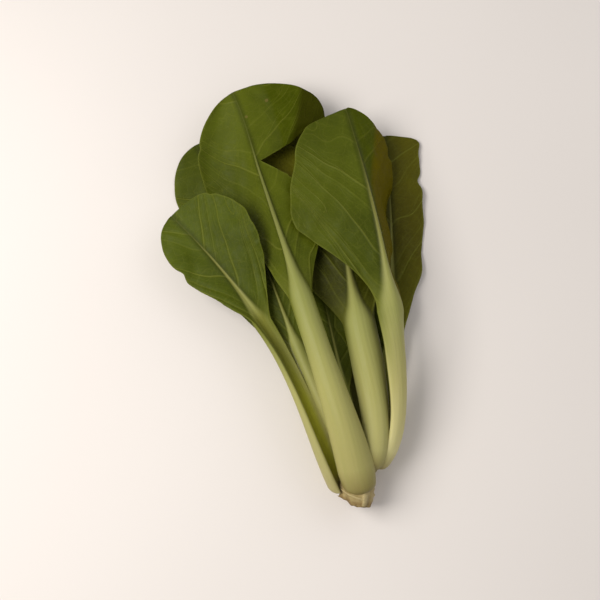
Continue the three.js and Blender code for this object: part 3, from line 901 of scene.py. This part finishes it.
def stalk_colour(nodes, paint, read, fibres):
    """Pale green of a stalk and its midrib: creamy at the foot, greener upwards, with lengthwise
    streaks, green edges near the top, and a green hollow whose tone changes on the way up. On
    outer_leaf_left the hollow is painted light low down, where front_leaf shades it, and painted
    shade near its top."""
    up, rim, share = read["up"], read["rim"], read["share"]
    ramp = nodes.add("ValToRGB")
    stops = ramp.color_ramp.elements
    for index, (part, place) in enumerate(STALK_TONES.items()):
        stop = stops[index] if index < 2 else stops.new(place)
        stop.position = place
        stop.color = paint[part]
    stalk = nodes.mix(nodes.ease(0, 0.45, share), nodes.feed(ramp, up)[0], paint["midrib"])
    stalk = nodes.mix(nodes.times(fibres["Streak"], 0.2), stalk, paint["streak"])
    stalk = nodes.mix(nodes.times(fibres["Fine"], 0.08), stalk, paint["low"])
    hollow = nodes.times(nodes.ease(0, 1, read["outer"], 1, 0), nodes.ease(0, 4, rim, 0.1, 0.75))
    hollow = nodes.times(hollow, nodes.ease(0, 0.12, up))
    hollow = nodes.times(hollow, nodes.ease(0, 0.16, share, 1, 0.2))
    # The hollow's tone from low to high; on outer_leaf_left painted light below and painted shade
    # above.
    inside = nodes.mix(nodes.ease(0.35, 0.85, up), paint["hollow"], paint["hollow_top"])
    stalk = nodes.mix(hollow, stalk, inside)
    edge_green = nodes.times(nodes.ease(0, 4, rim, 0.75, 0), nodes.ease(0.55, 1, up))
    return nodes.mix(edge_green, stalk, paint["vein"])


def leaf_material(name, paint, shade, groups):
    """Leaf: a pale fleshy stalk that greens upwards into a veined blade, with a few specks.
    Veins and net stand up from the outer face and are sunk in the inner one; the stalk has fine
    ridges, and all of it a fine grain."""
    material, nodes, shader = new_material(name, 0.45, 0.06)
    pale, share, rim = nodes.attribute("place")
    row, spacing, away = nodes.attribute("vein")
    outer, up = nodes.attribute("body")[:2]
    flat = nodes.add("UVMap", uv_map="Flat").outputs[0]
    place = nodes.add("TexCoord").outputs["Object"]
    read = dict(share=share, rim=rim, away=away, outer=outer, up=up, flat=flat, place=place)
    veins = nodes.group(groups["veins"], Row=row, Spacing=spacing, Away=away, Flat=flat)
    net = nodes.group(groups["net"], Flat=flat)["Net"]
    fibres = nodes.group(groups["fibres"], Flat=flat)
    specks = nodes.group(groups["specks"], Place=place, Amount=0.035)["Mask"]

    blade = blade_colour(nodes, paint, read, veins, net)
    if shade:
        blade = shaded_side(nodes, blade, paint, shade, read, shader)
    colour = nodes.mix(pale, blade, stalk_colour(nodes, paint, read, fibres))
    colour = nodes.mix(nodes.times(specks, 0.5), colour, paint["speck"])
    nodes.link(colour, shader.inputs["Base Color"])

    uneven = nodes.ease(0.3, 0.7, nodes.noise(place, 420, 2), -0.05, 0.06)
    gloss = nodes.math("ADD", nodes.ease(0, 1, pale, 0.56, 0.40), uneven)
    nodes.link(gloss, shader.inputs["Roughness"])

    relief = nodes.math("ADD", nodes.times(veins["Line"], 0.35), nodes.times(net, 0.07))
    relief = nodes.times(relief, nodes.ease(0, 1, outer, -1, 1))
    relief = nodes.times(relief, nodes.ease(0, 1, pale, 1, 0))
    fibre = nodes.math("ADD", fibres["Streak"], fibres["Fine"])
    fibre = nodes.times(fibre, nodes.times(pale, 0.05))
    grain = nodes.times(nodes.noise(place, 900, 2), 0.05)
    height = nodes.math("ADD", nodes.math("ADD", relief, fibre), grain)
    nodes.link(nodes.bump(height, 0.8, 0.001), shader.inputs["Normal"])
    return material


def base_material():
    """Stem base: cream flesh, browned and dry on and just round the cut face, darkest in its
    grooves and blotches, and paler on scars and the torn scrap."""
    material, nodes, shader = new_material("cut_stem", 0.55, 0.06)
    groove, near_cut, scar = nodes.attribute("cut")
    place = nodes.add("TexCoord").outputs["Object"]
    blotch = nodes.ease(0.40, 0.62, nodes.noise(place, 330, 4, 0.6))
    fine = nodes.noise(place, 1500, 3, 0.6)
    face = nodes.mix(nodes.times(blotch, 0.7), srgb(156, 134, 88), srgb(112, 88, 52))
    wall = nodes.mix(nodes.times(blotch, 0.3), srgb(170, 152, 104), srgb(138, 116, 72))
    colour = nodes.mix(near_cut, wall, face)
    colour = nodes.mix(nodes.ease(0.2, 0.8, scar, 0, 0.7), colour, srgb(196, 180, 132))
    colour = nodes.mix(nodes.times(groove, 0.75), colour, srgb(92, 68, 38))
    colour = nodes.mix(nodes.ease(0.3, 0.7, fine, 0, 0.22), colour, srgb(104, 82, 50))
    nodes.link(colour, shader.inputs["Base Color"])
    nodes.link(nodes.ease(0, 1, near_cut, 0.45, 0.75), shader.inputs["Roughness"])
    rough = nodes.times(fine, nodes.ease(0, 1, near_cut, 0.25, 0.9))
    nodes.link(nodes.bump(rough, 0.7, 0.0006), shader.inputs["Normal"])
    return material


def floor_material():
    """Plain pale surface with a barely visible drift of tone."""
    material, nodes, shader = new_material("pale_surface", 0.6, 0)
    place = nodes.add("TexCoord").outputs["Object"]
    drift = nodes.ease(0.3, 0.7, nodes.noise(place, 3, 2))
    colour = nodes.mix(drift, srgb(226, 219, 214), srgb(230, 223, 218))
    nodes.link(colour, shader.inputs["Base Color"])
    return material


# ---- stage


def build_floor(half=1.5):
    """Flat square under the head, half its width on each side of the origin, in metres."""
    corners = [(-half, -half, 0), (half, -half, 0), (half, half, 0), (-half, half, 0)]
    mesh = bpy.data.meshes.new("surface")
    mesh.from_pydata(corners, [], [(0, 1, 2, 3)])
    floor = bpy.data.objects.new("surface", mesh)
    bpy.context.scene.collection.objects.link(floor)
    mesh.materials.append(floor_material())


def aim(holder, place, direction):
    """Puts a light or camera at a place, looking in a direction."""
    holder.location = place
    holder.rotation_euler = direction.to_track_quat("-Z", "Y").to_euler()
    bpy.context.scene.collection.objects.link(holder)


def add_light(name, place, size, watts, colour):
    """Square area light that faces the origin."""
    lamp = bpy.data.lights.new(name, "AREA")
    lamp.size, lamp.energy, lamp.color = size, watts, colour
    aim(bpy.data.objects.new(name, lamp), place, -Vector(place))


def add_camera():
    """Camera that looks down on the head."""
    target = Vector(to_frame(np.array(CAMERA_PLACE)))
    back = Vector((0, -math.cos(CAMERA_RISE), math.sin(CAMERA_RISE)))
    lens = bpy.data.cameras.new("camera")
    lens.sensor_width, lens.lens = 36.0, CAMERA_LENS
    camera = bpy.data.objects.new("camera", lens)
    aim(camera, target + back * CAMERA_DISTANCE, -back)
    bpy.context.scene.camera = camera


def set_world():
    """Even pale surroundings."""
    world = bpy.data.worlds.new("studio")
    world.use_nodes = True
    shade = world.node_tree.nodes["Background"]
    shade.inputs["Color"].default_value = (1.0, 0.985, 0.97, 1)
    shade.inputs["Strength"].default_value = 0.42
    bpy.context.scene.world = world


groups = dict(
    veins=side_vein_group(), net=network_group(), fibres=fibre_group(), specks=speck_group())
for leaf in LEAVES:
    name = leaf["name"]
    paint = {**COMMON, **CHANGES.get(name, {})}
    paint = {part: srgb(*steps) for part, steps in paint.items()}
    piece = build_leaf(leaf)
    piece.data.materials.append(leaf_material(name, paint, SHADES.get(name), groups))
    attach(piece, "root")
    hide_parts(leaf["name"])

base = build_base()
base.data.materials.append(base_material())
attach(base, "root")
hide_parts("stem_base")

build_floor()
add_light("key", (-0.42, -0.02, 0.58), size=0.45, watts=4.6, colour=(1.0, 0.98, 0.94))
add_light("fill", (0.5, 0.25, 0.5), size=0.6, watts=0.8, colour=(0.95, 0.97, 1.0))
set_world()
add_camera()
bpy.context.scene.view_settings.view_transform = "Standard"
